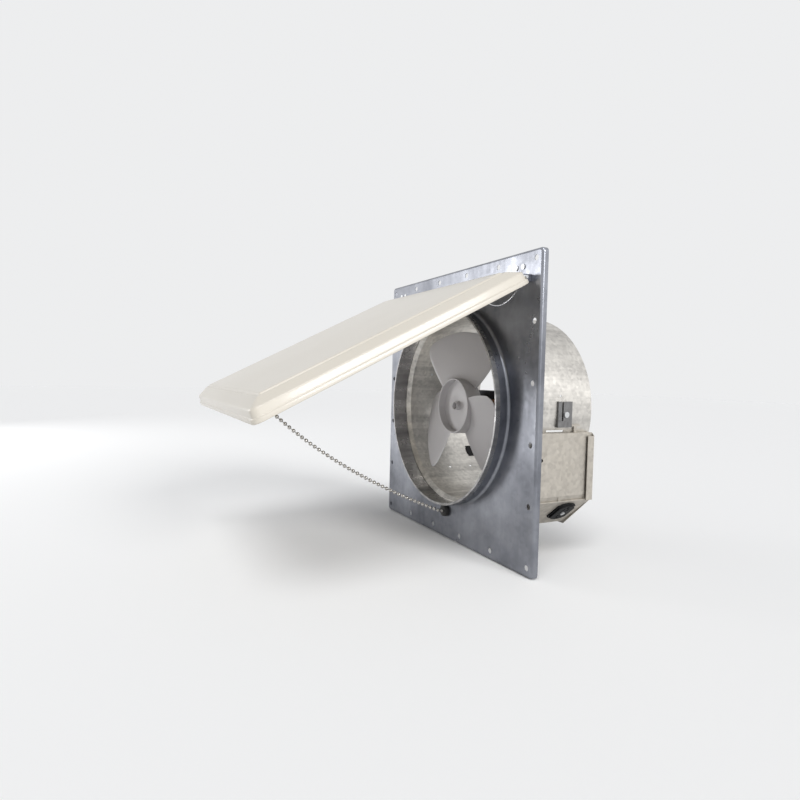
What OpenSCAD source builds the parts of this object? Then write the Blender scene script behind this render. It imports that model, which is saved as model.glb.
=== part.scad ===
// Chain operated sidewall exhaust fan with a hinged outdoor door, drawn with the door open.
// X runs across the wall, Y runs into the wall towards the room, Z is up.
// The origin is the centre of the nail hole pattern on the front face of the wall plate.

/* [Wall plate] */
// Side of the square wall plate
plate_w = 355.6; // [350:0.2:380]
// Thickness of the plate sheet
plate_t = 0.8; // [0.6:0.1:1.2]
// Depth of the turned back edge
plate_lip = 7.5; // [6:0.5:12]
// Outside radius of the edge bend
plate_bend_r = 3; // [2:0.5:4]
// Radius of the plate corners
plate_corner_r = 5; // [4:0.5:12]
// Distance from the edge of the plate to the outer nail holes
hole_edge = 10.3; // [8:0.1:14]
// Nail holes along each side
holes_per_side = 6; // [4:1:8]
// Diameter of a nail hole
nail_hole_d = 6.5; // [4:0.5:8]

/* [Duct] */
// Inside radius of the outer sleeve
sleeve_r = 127.5; // [126.5:0.1:128.5]
// Wall of the sleeve and the drum
duct_t = 0.7; // [0.6:0.1:0.9]
// How far the sleeve stands out of the plate
collar_h = 19; // [17:0.5:19]
// Depth of the sleeve hem over the collar
hem_h = 6; // [4:0.5:8]
// Radius of the fillet between plate and collar
collar_fillet = 3.5; // [2.5:0.5:4]
// How far the sleeve reaches into the wall
sleeve_end = 44; // [40:1:50]
// Gap between the sleeve and the inner drum
drum_gap = 5; // [4:0.1:6.5]
// Depth of the front edge of the drum
drum_front = 2; // [0:0.5:6]
// Depth of the rear edge of the drum
drum_end = 133; // [131:1:150]

/* [Door] */
// Distance from the side of the plate to the side of the door
door_side = 12.8; // [10:0.1:14]
// How much shorter the door is than the plate
door_short = 26.6; // [24:0.1:30]
// Height of the door pan over its lip
pan_h = 21.2; // [20.8:0.1:23]
// Height of the folded lip
door_lip_h = 4.8; // [4:0.2:6]
// Height of the skirt over the lip plane
skirt_h = 12.6; // [11:0.2:14]
// Width of the bevelled shoulder
shoulder_w = 13.7; // [11:0.1:15]
// Radius of the lip corners
door_corner_r = 10; // [6:0.5:12]
// Thickness of the door sheet
door_t = 0.8; // [0.6:0.1:1]
// Angle between the open door and the closed door
door_open = 62.8; // [50:0.2:66]
// Distance from the plate to the hinge axis
pivot_y = 8.4; // [8.2:0.1:9.5]
// Distance from the top edge of the plate to the hinge axis
pivot_drop = 30.8; // [29.5:0.1:33]
// Distance from the hinge axis to the lip plane
pivot_off = 7; // [6.5:0.1:7]
// Distance from the hinge axis to the top edge of the door
pivot_top = 3.5; // [3:0.1:3.7]
// Distance from the hinge axis to the hook of a door spring
spring_hook_z = 49; // [46:0.5:52]
// Distance from the lower edge of the door to the chain bracket
chain_hook_up = 37.5; // [30:0.5:42]
// Thickness of the foam gasket ring
gasket_t = 2.2; // [1.5:0.1:2.3]

/* [Hinge] */
// Radius of a hinge pin
pin_r = 1.6; // [1.2:0.1:2]
// Thickness of a hinge bracket
bracket_t = 1.2; // [1:0.1:1.5]
// Radius of the wire of the door springs
spring_wire_r = 0.7; // [0.5:0.1:1]

/* [Chain] */
// Radius of a chain bead
bead_r = 2.4; // [2:0.1:2.6]
// Distance between beads
bead_pitch = 6.47; // [6.2:0.01:6.8]
// Gap between the grommet and the fillet round the collar
chain_gap = 0.4; // [0.4:0.1:3]
// Outside radius of the rubber grommet
grommet_r = 7.8; // [7:0.1:8]
// How far the grommet stands out of the plate
grommet_h = 6; // [5:0.5:9]
// Length of the pull bell
bell_l = 24; // [18:1:30]

/* [Wiring box] */
// How far the box stands out past the drum
box_side = 6.5; // [5:0.1:9]
// Thickness of the box sheet
box_t = 0.9; // [0.8:0.1:1.2]
// Depth of the front wall of the box
box_front = 46; // [46:0.5:50]
// Depth of the rear edge of the box
box_end = 129; // [127:0.5:130]
// Height of the top of the box
box_top = -26; // [-30:0.5:-24]
// How far the lower edge of the outer side is above the bottom of the drum
box_low_up = 13.1; // [9:0.1:15]
// How far the lowest edge of the box is below the drum
box_foot_drop = 24.5; // [22:0.5:27]
// Distance from the fan axis to the inner side of the box
box_in_x = 64; // [62:0.5:66]
// Width of the flat bottom of the box
box_flat = 20; // [14:0.5:24]
// Gap between the side of the box and the lip of its cover
cover_gap = 2.2; // [0.3:0.1:3]
// How far the cover reaches past the bottom of the box
cover_over = 3.4; // [0:0.1:5]
// Depth of the centre of the receptacle
receptacle_y = 100; // [90:1:104]
// Radius of the receptacle flange
receptacle_r = 19; // [17:0.5:21]
// Length of the switch lever
lever_l = 47; // [45:0.5:50]

/* [Motor] */
// Radius of the motor shaft
shaft_r = 3; // [2.5:0.1:3.5]
// Half height of the lamination stack
stack_hz = 21; // [20:0.5:23]
// Thickness of the lamination stack
stack_l = 22; // [18:0.5:24]
// Depth of the front face of the stack
stack_y = 53; // [53:0.5:54]
// Radius of the rotor
rotor_r = 13; // [11:0.2:14]
// Air gap between rotor and stack
air_gap = 0.4; // [0.3:0.05:0.6]
// Half height of the bar that carries the motor
bar_hz = 15; // [13:0.5:16]
// Depth of the front face of the bar
bar_y = 85; // [84.5:0.1:86]
// Thickness of the bar
bar_t = 1.6; // [1.2:0.1:2]

/* [Fan wheel] */
// Gap between the blade tips and the drum
tip_gap = 22.7; // [12:0.1:26]
// Number of blades
blades = 3; // [3:1:3]
// Half angle of a blade at its tip
tip_half_a = 39; // [34:0.5:42]
// Half angle of a blade at its root
root_half_a = 50; // [44:0.5:54]
// Thickness of a blade
blade_t = 2; // [1.6:0.1:2.4]
// Depth of the forward edge of a blade at its tip
blade_front = -0.3; // [-2:0.1:8]
// Depth of the rear edge of a blade
blade_rear = 38; // [34:0.5:40]
// Radius of the hub
hub_r = 37; // [34:0.5:40]
// Depth of the front edge of the hub
hub_front = 5; // [4:0.2:8]
// Depth of the rear edge of the rim of the hub
hub_y = 27; // [25:0.5:32]
// Depth of the floor of the hub
hub_floor = 15.5; // [12:0.5:17]
// Depth of the nose of the hub
nose_y = 8.5; // [6:0.5:10]

/* [Hidden] */
$fn = 96;
steel = [0.66, 0.68, 0.69];
warm_steel = [0.72, 0.70, 0.66];
enamel = [0.93, 0.92, 0.87];
black = [0.08, 0.08, 0.09];
milky = [0.80, 0.80, 0.84];
copper = [0.62, 0.36, 0.18];
// Gap that lets two pieces seat on each other, and gap of a pin in its hole
seat = 0.3;
pin_gap = 0.06;
hold_gap = 0.02;
// Gap under a flat head that meets the inside of the round drum
head_gap = 0.05;
half_w = plate_w / 2;
hole_span = plate_w - 2 * hole_edge;
hole_pitch = hole_span / (holes_per_side - 1);
// Rings that make up the duct
sleeve_ro = sleeve_r + duct_t;
collar_ri = sleeve_ro + seat;
collar_ro = collar_ri + plate_t;
hem_ri = collar_ro + seat;
hem_ro = hem_ri + duct_t;
fillet_ro = collar_ro + collar_fillet;
drum_r = sleeve_r - drum_gap;
drum_ri = drum_r - duct_t;
flare_r = sleeve_r - seat;
flare_l = 5;
flare_bend = 0.6;
hem_round = 0.4;
dimple_r = 1.8;
dimple_deep = 0.2;
// Screws and holes of the duct
lock_y = 38;
lock_angles = [40, 160, 280];
lock_r = 2;
collar_hole_y = -8;
collar_hole_angles = [85, 175, 265, 355];
drum_hole_y = [52, 88];
drum_hole_a = 232;
window_a = 219;
window_y = 94;
window_l = 22;
window_w = 18;
small_hole = [83.6, 18.5];
slit_y = 63;
slit_l = 27;
slit_h = 2.2;
slit_up = 0.8;
door_w = plate_w - 2 * door_side;
door_h = plate_w - door_short;
pivot_z = half_w - pivot_drop;
chain_hook_z = door_h - pivot_top - chain_hook_up;
// Door edge, as insets from the edge and heights over the lip plane
lip_t = 1.6;
skirt_in = 2.8;
shoulder_in = skirt_in + shoulder_w;
groove_in = shoulder_in + 1.5;
panel_in = groove_in + 2.5;
shoulder_h = pan_h - 1.4;
groove_h = shoulder_h - 0.8;
lip_in = lip_t + door_t + 0.2;
lip_step = door_lip_h + 0.6;
skirt_draft = (skirt_in - lip_t) / (skirt_h - lip_step);
shoulder_rise = (shoulder_h - skirt_h) / shoulder_w;
over = 4;
gasket_ro = pivot_z + pivot_top - panel_in - 0.2;
gasket_w = 6.5;
// Places about the hinge axis with the door closed, outwards is negative Y
panel_face = pivot_off - pan_h + door_t;
door_mid = pivot_top - door_h / 2;
function at_door(p) = [
  -pivot_y + p[0] * cos(door_open) + p[1] * sin(door_open),
  pivot_z - p[0] * sin(door_open) + p[1] * cos(door_open)];
// Hinge
ear_x = door_w / 2 - skirt_in - door_t - 1.4;
ear_r = 3.6;
bracket_in = 34;
bracket_low = 5;
bracket_up = 21;
hinge_rivet_in = [26, 14];
hinge_rivet_up = 14;
hinge_rivet_x = [for (d = hinge_rivet_in) ear_x - d];
hinge_rivet_z = pivot_z + hinge_rivet_up;
rivet_r = 1.6;
pin_step = 1;
pin_step_r = pin_r + 0.6;
pin_head = 1;
pin_out = 3.6;
// Door springs, each in a plane of its own, as depth and height
spring_in = 20;
spring_down = 7;
spring_x = ear_x - spring_in;
spring_z = pivot_z - spring_down;
spring_hole_gap = 0.4;
spring_hole_r = spring_wire_r + spring_hole_gap;
hook_y = panel_face + 9;
spring_drop = 19.4;
spring_fall = 13.6;
spring_dip = 21.9;
spring_reach = 20.7;
spring_top = at_door([hook_y + 1.6, -spring_hook_z + 0.6]);
function bezier(a, b, c, d, t) =
  pow(1 - t, 3) * a + 3 * pow(1 - t, 2) * t * b + 3 * (1 - t) * t * t * c + t * t * t * d;
spring_route = concat(
  [[plate_t + 1.6, spring_z - 3.4], [plate_t + 1.5, spring_z - 1.2], [plate_t + 0.7, spring_z - 0.1]],
  [for (i = [0:12]) bezier([0, spring_z], [-spring_fall, spring_z - spring_drop],
    spring_top + [spring_reach, -spring_dip], spring_top, i / 12)],
  [at_door([hook_y - 2.6, -spring_hook_z - 0.6])]);
// Chain between the grommet and the bracket under the door, a shallow curve through three points
link_r = 0.5;
bridge_y = panel_face + 7.2;
tip_yz = at_door([bridge_y - 3.4, -chain_hook_z]);
inner_start = -grommet_h;
chain_rise = 1;
chain_z = -fillet_ro - grommet_r - chain_gap;
chain_start = [inner_start - bead_pitch + 0.1, chain_z + chain_rise];
chain_sag_y = 185;
chain_sag_z = 70;
chain_dip = [-chain_sag_y, chain_z + chain_sag_z];
function chain_at(t) = (1 - t) * (1 - t) * chain_start + 2 * t * (1 - t) * chain_dip + t * t * tip_yz;
chain_ease = (norm(tip_yz - chain_dip) - norm(chain_dip - chain_start))
  / (norm(tip_yz - chain_dip) + norm(chain_dip - chain_start));
chain_steps = 40;
chain_l = let (d = [for (i = [1:chain_steps]) norm(chain_at(i / chain_steps) - chain_at((i - 1) / chain_steps))])
  d * [for (i = [1:chain_steps]) 1];
chain_n = round(chain_l / bead_pitch);
guide_y = drum_end - 5;
guide_t = 1.6;
guide_half_w = 8;
guide_rivet_y = guide_y - 10;
bell_wall = 1.2;
bell_hold = (bell_wall + bead_pitch) / 2;
inner_n = ceil((guide_y + guide_t + seat + bell_hold - inner_start) / bead_pitch);
bell_y = inner_start + bead_pitch * inner_n - bell_hold;
bell_r = 6.5;
grommet_neck = 5.2;
chain_bore = 3;
// Wiring box
box_x = drum_r + box_side;
box_low = -drum_r + box_low_up;
box_foot = -drum_r - box_foot_drop;
box_flat_x = box_in_x + box_flat;
slope_a = atan2(box_low - box_foot, box_x - box_flat_x);
cover_x = box_x + cover_gap + box_t;
receptacle_up = 5;
flange_l = 12;
box_rivet_angles = [-24, -50];
box_rivet_y = box_front + 7;
side_hole = [50.5, -58];
lug_w = 9;
lug_z = [-66, -drum_r - 1.5];
cover_lip = 9;
tab_x = box_x - 7;
tab_y = 107;
tab_half = 2.2;
tab_up = 10;
lug_half = 5;
box_screw_l = 6;
screw_head = 1.8;
screw_tip = 1;
// Switch beside the chain
switch_back = 5;
switch_y = 70;
switch_hy = 8;
lever_t = 1.8;
lever_gap = 0.2;
lever_z = chain_z + 3;
lever_r = 3.4;
switch_pin_r = 1.5;
fork_r = 3;
// Motor stations along the shaft
stack_end = stack_y + stack_l;
stack_x = [-26, 58];
window_x = [27, 43];
window_hz = 11;
mount_x = 20;
mount_r = 2;
bore_r = rotor_r + air_gap;
boss_r = 9;
bush_ro = 5;
bush_l = 7;
foot_r = 5;
bridge_t = 3;
front_boss = stack_y - 9;
rear_boss = stack_end + 2;
rear_bridge = stack_end + 4;
isolator_r = 6.5;
neck_r = 4;
isolator_t = bar_y - rear_bridge - bridge_t;
bar_hole_r = 12;
tab_l = 20;
bar_flange = 5;
clip_y = 88;
clip_hy = 11;
clip_z = [-19.5, 12];
clip_h = 2.6;
clip_t = 1.2;
clip_screw = [89.2, -4];
clip_slot = [-5.2, -2.9];
clip_screw_r = 1.9;
// Fan wheel
tip_r = drum_ri - tip_gap;
hub_sleeve_l = 15;
sleeve_end_y = hub_y + hub_sleeve_l;
hub_sleeve_r = 7.5;
recess_r = 4.6;
recess_l = 5;
nose_r = 5.8;
shaft_front = nose_y + recess_l + 1;
shaft_end = rear_boss + bush_l - 1;
blade_a = 89.5;
chord_n = 14;
span_n = 9;
root_r = hub_r - 1.5;
tip_round = 14;
root_rear = 23;

// Turns a profile of radius and depth about the fan axis
module revolve_y() rotate([-90, 0, 0]) rotate_extrude($fn = 144) children();

// Extrudes a profile seen from the front from depth y0 to depth y1
module extrude_y(y0, y1) translate([0, y1, 0]) rotate([90, 0, 0]) linear_extrude(y1 - y0) children();

module rod_y(y0, y1, r) translate([0, y0, 0]) rotate([-90, 0, 0]) cylinder(h = y1 - y0, r = r);

module rod_x(x0, x1, r) translate([x0, 0, 0]) rotate([0, 90, 0]) cylinder(h = x1 - x0, r = r);

module ring_y(y0, y1, ro, ri) difference() {
  rod_y(y0, y1, ro);
  rod_y(y0 - 1, y1 + 1, ri);
}

// Box from corner to corner
module block(a, b) translate(a) cube(b - a);

// Box from x0 to x1 on the side that the sign s gives
module side_block(s, x0, x1, y, z)
  block([min(s * x0, s * x1), y[0], z[0]], [max(s * x0, s * x1), y[1], z[1]]);

// Rod along a radius of the fan axis at depth y and angle a
module rod_out(y, a, r0, r1, r) translate([0, y, 0]) rotate([0, -a, 0]) rod_x(r0, r1, r);

module side_rod(s, x0, x1, r) rod_x(min(s * x0, s * x1), max(s * x0, s * x1), r);

// Sweeps a profile of outward distance and depth round a rectangle with round corners
module rim_y(w, h, rc) rotate([-90, 0, 0]) for (q = [0:3]) let (a = q % 2 == 0 ? w : h, b = q % 2 == 0 ? h : w)
  rotate(90 * q) translate([a / 2 - rc, b / 2 - rc, 0]) {
    rotate([90, 0, 0]) linear_extrude(b - 2 * rc) children();
    rotate_extrude(angle = 90) children();
  }

function arc(c, r, a0, a1, n = 8) = [for (i = [0:n]) let (a = a0 + (a1 - a0) * i / n) c + r * [cos(a), sin(a)]];

// Places what is drawn about the hinge axis with the door closed where it is when the door is open
module on_door() translate([0, -pivot_y, pivot_z]) rotate([-door_open, 0, 0]) children();

// Places what is drawn along Z on the outside of the sloped panel of the wiring box
module on_slope(y) translate([(box_x + box_flat_x) / 2, y, (box_low + box_foot) / 2])
  rotate([0, 180 - slope_a, 0]) translate([-receptacle_up, 0, hold_gap]) children();

// Sweeps a round wire along points of one plane across X, given as depth and height
module wire_x(points, r, sides = 8) {
  n = len(points);
  dirs = [for (i = [0:n - 1]) let (d = points[min(i + 1, n - 1)] - points[max(i - 1, 0)]) d / norm(d)];
  rings = [for (i = [0:n - 1]) for (k = [0:sides - 1]) let (a = 360 * k / sides)
    [r * cos(a), points[i][0] - r * sin(a) * dirs[i][1], points[i][1] + r * sin(a) * dirs[i][0]]];
  walls = [for (i = [0:n - 2]) for (k = [0:sides - 1]) let (a = i * sides, b = (k + 1) % sides)
    each [[a + k, a + b, a + sides + k], [a + b, a + sides + b, a + sides + k]]];
  caps = [for (k = [1:sides - 2]) each
    [[0, k + 1, k], [(n - 1) * sides, (n - 1) * sides + k, (n - 1) * sides + k + 1]]];
  polyhedron(points = rings, faces = concat(walls, caps), convexity = 4);
}

// Beads joined by short links through points of the plane X = 0
module bead_chain(points) {
  last = len(points) - 1;
  for (i = [0:last]) let (d = points[min(i + 1, last)] - points[max(i - 1, 0)])
    translate([0, points[i][0], points[i][1]]) rotate([atan2(d[1], d[0]), 0, 0]) sphere(r = bead_r, $fn = 24);
  for (i = [1:last]) link(points[i - 1], points[i]);
}

module link(a, b) let (d = b - a, p = a + d * bead_r / 2 / norm(d)) translate([0, p[0], p[1]])
  rotate([atan2(d[1], d[0]) - 90, 0, 0]) cylinder(h = norm(d) - bead_r, r = link_r, $fn = 24);

module nail_holes() for (i = [0:holes_per_side - 1], j = [0:holes_per_side - 1])
  if (min(i, j) == 0 || max(i, j) == holes_per_side - 1)
    translate([i * hole_pitch - hole_span / 2, 0, j * hole_pitch - hole_span / 2])
      rod_y(-1, plate_t + 1, nail_hole_d / 2);

module hinge_cuts(s) {
  side_block(s, ear_x - bracket_t - 0.4, ear_x + 0.4, [-1, plate_t + 1], [pivot_z - ear_r - 0.4, pivot_z + ear_r + 0.4]);
  for (x = hinge_rivet_x) translate([s * x, 0, hinge_rivet_z]) rod_y(-1, plate_t + 1, rivet_r + hold_gap);
  translate([s * spring_x, 0, spring_z]) rod_y(-1, plate_t + 1, spring_hole_r);
}

module wall_plate() color(steel) difference() {
  inner = half_w - plate_corner_r + 0.5;
  bend = [plate_corner_r - plate_bend_r, plate_bend_r];
  fillet = [fillet_ro, -collar_fillet];
  union() {
    rim_y(plate_w, plate_w, plate_corner_r) polygon(concat(
      [[0, 0]], arc(bend, plate_bend_r, -90, 0),
      [[plate_corner_r, plate_lip], [plate_corner_r - plate_t, plate_lip]],
      arc(bend, plate_bend_r - plate_t, 0, -90), [[0, plate_t]]));
    revolve_y() polygon(concat(
      [[collar_ri, -collar_h + duct_t + seat], [collar_ro, -collar_h + duct_t + seat]],
      arc(fillet, collar_fillet, 180, 90), [[fillet_ro + 1, 0], [fillet_ro + 1, plate_t]],
      arc(fillet, collar_fillet + plate_t, 90, 180)));
    difference() {
      block([-inner, 0, -inner], [inner, plate_t, inner]);
      rod_y(-1, plate_t + 1, fillet_ro + 0.5);
    }
  }
  translate([0, 0, chain_z]) rod_y(-1, plate_t + 1, grommet_neck + pin_gap);
  for (s = [-1, 1]) hinge_cuts(s);
  nail_holes();
}

module outer_sleeve() color(steel) difference() {
  revolve_y() polygon([
    [sleeve_r, sleeve_end], [sleeve_r, -collar_h + hem_round], [sleeve_r + hem_round, -collar_h],
    [hem_ro - hem_round, -collar_h], [hem_ro, -collar_h + hem_round], [hem_ro, -collar_h + hem_h],
    [hem_ri, -collar_h + hem_h], [hem_ri, -collar_h + duct_t], [sleeve_ro, -collar_h + duct_t],
    [sleeve_ro, sleeve_end]]);
  for (a = lock_angles) rod_out(lock_y, a, sleeve_r - 2, sleeve_ro + 2, lock_r + pin_gap);
  for (a = collar_hole_angles) rod_out(collar_hole_y, a, sleeve_r - 2, sleeve_r + dimple_deep, dimple_r);
}

// Block over the window of the drum, larger by g on each side, from radius r0 to radius r1
module window_block(g, r0, r1) rotate([0, -window_a, 0])
  block([r0, window_y - g, -window_w / 2 - g], [r1, window_y + window_l + g, window_w / 2 + g]);

module inner_drum() color(steel) difference() {
  revolve_y() polygon([
    [drum_ri, drum_end], [drum_ri, drum_front + flare_l], [flare_r - duct_t, drum_front],
    [flare_r, drum_front], [flare_r, drum_front + duct_t], [drum_r, drum_front + flare_l + flare_bend],
    [drum_r, drum_end]]);
  for (a = lock_angles) rod_out(lock_y, a, drum_ri - 2, drum_r + 2, lock_r + hold_gap);
  for (s = [-1, 1]) translate([0, clip_screw[0], clip_screw[1]])
    side_rod(s, drum_ri - 3, drum_r + 2, clip_screw_r + hold_gap);
  for (y = drum_hole_y) rod_out(y, drum_hole_a, drum_ri - 2, drum_r + 2, dimple_r);
  window_block(0, drum_ri - 3, drum_r + 3);
  block([drum_ri - 6, slit_y, box_top + slit_up], [drum_r + 2, slit_y + slit_l, box_top + slit_up + slit_h]);
  translate([0, small_hole[0], small_hole[1]]) rod_x(drum_ri - 4, drum_r + 2, 1.5);
  translate([0, guide_rivet_y, -drum_r - 2]) cylinder(h = 6, r = rivet_r + hold_gap);
  for (a = box_rivet_angles) rod_out(box_rivet_y, a, drum_ri - 2, drum_r + 2, rivet_r + hold_gap);
}

plug_rim = 2.5;
plug_t = 1.4;
plug_lip = 0.8;
plug_lip_in = 4;

// Plug that closes the window, with a rim outside and a lip inside that reaches under two edges
module entry_plug() color(black) {
  intersection() {
    ring_y(window_y - 10, window_y + window_l + 10, drum_r + plug_t, drum_r + hold_gap);
    window_block(plug_rim, drum_ri - 8, drum_r + 8);
  }
  intersection() {
    ring_y(window_y - 10, window_y + window_l + 10, drum_r + plug_t / 2, drum_ri - plug_lip);
    window_block(-pin_gap, drum_ri - 8, drum_r + 8);
  }
  intersection() {
    ring_y(window_y - 10, window_y + window_l + 10, drum_ri - head_gap, drum_ri - head_gap - plug_lip);
    window_block(1, drum_ri - 8, drum_r + 8);
    rotate([0, -window_a, 0])
      block([0, 0, plug_lip_in - window_w / 2], [drum_r, drum_end, window_w / 2 - plug_lip_in]);
  }
}

// Screws that lock the drum in the sleeve at the depth of the wall
module sleeve_screws() color(steel) for (a = lock_angles) {
  rod_out(lock_y, a, drum_ri - screw_tip, sleeve_ro + screw_tip, lock_r);
  rod_out(lock_y, a, sleeve_ro, sleeve_ro + screw_head, lock_r * 2);
}

// Height and place across of the sloped panel, moved inwards by g
function slope_z(x, g) = box_low + (x - box_x) * tan(slope_a) + g / cos(slope_a);
function slope_x(z, g) = box_x + (z - box_low - g / cos(slope_a)) / tan(slope_a);

module box_prism(g, y0, y1) extrude_y(y0, y1) polygon([
  [box_in_x + g, box_top - g], [box_x - g, box_top - g], [box_x - g, slope_z(box_x - g, g)],
  [slope_x(box_foot + g, g), box_foot + g], [box_in_x + g, box_foot + g]]);

lug_x = [box_x - 5.4, box_in_x + 5.4];
// Strip along the foot of the outer side that leans in over a thin hem, in two runs with a cut between
strip_h = 7;
strip_in = 1.6;
strip_hem = 1;
strip_cut = 79;
strip_cut_w = 1.6;
strip_runs = [[box_front + 1, strip_cut - strip_cut_w / 2], [strip_cut + strip_cut_w / 2, box_end - cover_lip - 1]];
crossbar_half = 7;
crossbar_h = 2.6;

module lug(x, z) block([x - lug_half, box_end - 1.4, z - lug_w / 2], [x + lug_half, box_end, z + lug_w / 2]);

module wiring_box() color(warm_steel) difference() {
  union() {
    difference() {
      box_prism(0, box_front, box_end);
      box_prism(box_t, box_front + box_t, box_end + 1);
    }
    intersection() {
      box_prism(0, box_front, box_front + flange_l);
      ring_y(box_front, box_front + flange_l, drum_r + seat + box_t, drum_r);
    }
    for (i = [0, 1]) lug(lug_x[i], lug_z[i]);
    extrude_y(box_front, box_end) polygon([
      [box_x - box_t / 2, box_low + strip_h + 3], [box_x - strip_in - box_t, box_low + strip_hem],
      [box_x - strip_in - box_t, slope_z(box_x - strip_in - box_t, box_t / 2)],
      [box_x - box_t / 2, slope_z(box_x - box_t / 2, box_t / 2)]]);
    block([tab_x, tab_y - tab_half, box_top - box_t], [tab_x + box_t, tab_y + tab_half, box_top + tab_up]);
    block([tab_x, tab_y - crossbar_half, box_top + tab_up - crossbar_h],
      [tab_x + box_t, tab_y + crossbar_half, box_top + tab_up]);
  }
  for (run = strip_runs) extrude_y(run[0], run[1]) polygon([
    [box_x, box_low + strip_h], [box_x - strip_in, box_low + strip_hem],
    [box_x + 1, box_low + strip_hem], [box_x + 1, box_low + strip_h]]);
  rod_y(box_front - 1, box_end + 1, drum_r + seat);
  for (a = box_rivet_angles) rod_out(box_rivet_y, a, drum_r - 2, drum_r + 3, rivet_r + hold_gap);
  for (i = [0, 1]) translate([lug_x[i], 0, lug_z[i]]) rod_y(box_end - 3, box_end + 1, clip_screw_r + hold_gap);
  translate([0, side_hole[0], side_hole[1]]) rod_x(box_x - 2, box_x + 1, 2);
  on_slope(receptacle_y) translate([0, 0, -box_t - 2]) cylinder(h = box_t + 4, r = core_r + pin_gap);
}

module box_cover() color(warm_steel) difference() {
  union() {
    extrude_y(box_end, box_end + box_t) polygon([
      [box_in_x, box_top], [cover_x - 4, box_top], [cover_x, box_top - 4], [cover_x, box_low], [box_x, box_low],
      [box_flat_x, box_foot - cover_over], [box_in_x, box_foot - cover_over]]);
    block([cover_x - box_t, box_end - cover_lip, box_low], [cover_x, box_end + box_t, box_top - 4]);
  }
  rod_y(box_end - 1, box_end + 2, drum_r + seat);
  for (i = [0, 1]) translate([lug_x[i], 0, lug_z[i]]) rod_y(box_end - 1, box_end + 2, clip_screw_r + pin_gap);
}

module box_screws() color(steel) for (i = [0, 1]) translate([lug_x[i], 0, lug_z[i]]) {
  rod_y(box_end - box_screw_l, box_end + box_t + screw_tip, clip_screw_r);
  rod_y(box_end + box_t, box_end + box_t + screw_head, clip_screw_r * 1.9);
}

// Rivet along a radius of the fan axis that clamps from radius r0 to radius r1
module rivet_out(y, a, r0, r1) {
  rod_out(y, a, r0 - 0.5, r1 + 0.5, rivet_r);
  rod_out(y, a, r0 - head_gap - 1, r0 - head_gap, rivet_r * 1.8);
  rod_out(y, a, r1, r1 + 1, rivet_r * 1.8);
}

module box_rivets() color(steel) for (a = box_rivet_angles) rivet_out(box_rivet_y, a, drum_ri, drum_r + seat + box_t);

// Receptacle, as sizes down the sloped panel and along it and heights over it
flange_y = 14;
flange_t = 1.6;
face_y = 12;
face_in = 2.5;
face_h = 4;
core_r = receptacle_r - 6.5;
core_l = 18;
core_hole_l = 12;
slot_x = [4.6, 10.4];
slot_y = 3.2;
slot_w = 1.8;
slot_deep = 5;
earth_x = 13;
earth_r = 1.8;
face_screw_l = 10;
face_screw_head = 1.4;

module receptacle() color(black) on_slope(receptacle_y) difference() {
  union() {
    intersection() {
      cylinder(h = flange_t, r = receptacle_r);
      block([-receptacle_r, -flange_y, 0], [receptacle_r, flange_y, flange_t]);
    }
    intersection() {
      cylinder(h = face_h, r = receptacle_r - face_in);
      block([-receptacle_r, -face_y, 0], [receptacle_r, face_y, face_h]);
    }
    translate([0, 0, -core_l]) cylinder(h = core_l + 1, r = core_r);
  }
  for (s = [-1, 1]) translate([0, 0, face_h - slot_deep]) {
    for (y = [-slot_y, slot_y])
      side_block(s, slot_x[0], slot_x[1], [y - slot_w / 2, y + slot_w / 2], [0, slot_deep + 1]);
    translate([s * earth_x, 0, 0]) cylinder(h = slot_deep + 1, r = earth_r);
  }
  translate([0, 0, -core_hole_l]) cylinder(h = core_hole_l + face_h + 1, r = rivet_r + hold_gap);
}

module receptacle_screw() color(steel) on_slope(receptacle_y) {
  translate([0, 0, -face_screw_l]) cylinder(h = face_screw_l + face_h + face_screw_head / 2, r = rivet_r);
  translate([0, 0, face_h]) cylinder(h = face_screw_head, r = rivet_r * 1.9);
}

body_low = lever_z + lever_t + lever_gap;
body_h = 16;

module switch_body() color(black) difference() {
  block([lever_l - switch_back, switch_y - switch_hy, body_low], [box_in_x, switch_y + switch_hy, body_low + body_h]);
  translate([lever_l, switch_y, body_low - 1]) cylinder(h = body_h - 3, r = switch_pin_r + hold_gap);
}

module switch_pin() color(steel) translate([lever_l, switch_y, 0]) {
  translate([0, 0, lever_z - 1.2]) cylinder(h = body_low - lever_z + 12, r = switch_pin_r);
  translate([0, 0, lever_z - 1.4]) cylinder(h = 1.3, r = switch_pin_r * 2);
}

module switch_lever() color(steel) difference() {
  union() {
    block([lever_r + 0.6, switch_y - 3, lever_z], [lever_l, switch_y + 3, lever_z + lever_t]);
    translate([lever_l, switch_y, lever_z]) cylinder(h = lever_t, r = switch_pin_r * 3);
    translate([0, 0, chain_z]) rod_y(switch_y - lever_t / 2, switch_y + lever_t / 2, lever_r + fork_r);
  }
  translate([0, 0, chain_z]) rod_y(switch_y - lever_t, switch_y + lever_t, lever_r);
  translate([lever_l, switch_y, lever_z - 1]) cylinder(h = lever_t + 2, r = switch_pin_r + pin_gap);
}

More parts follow.
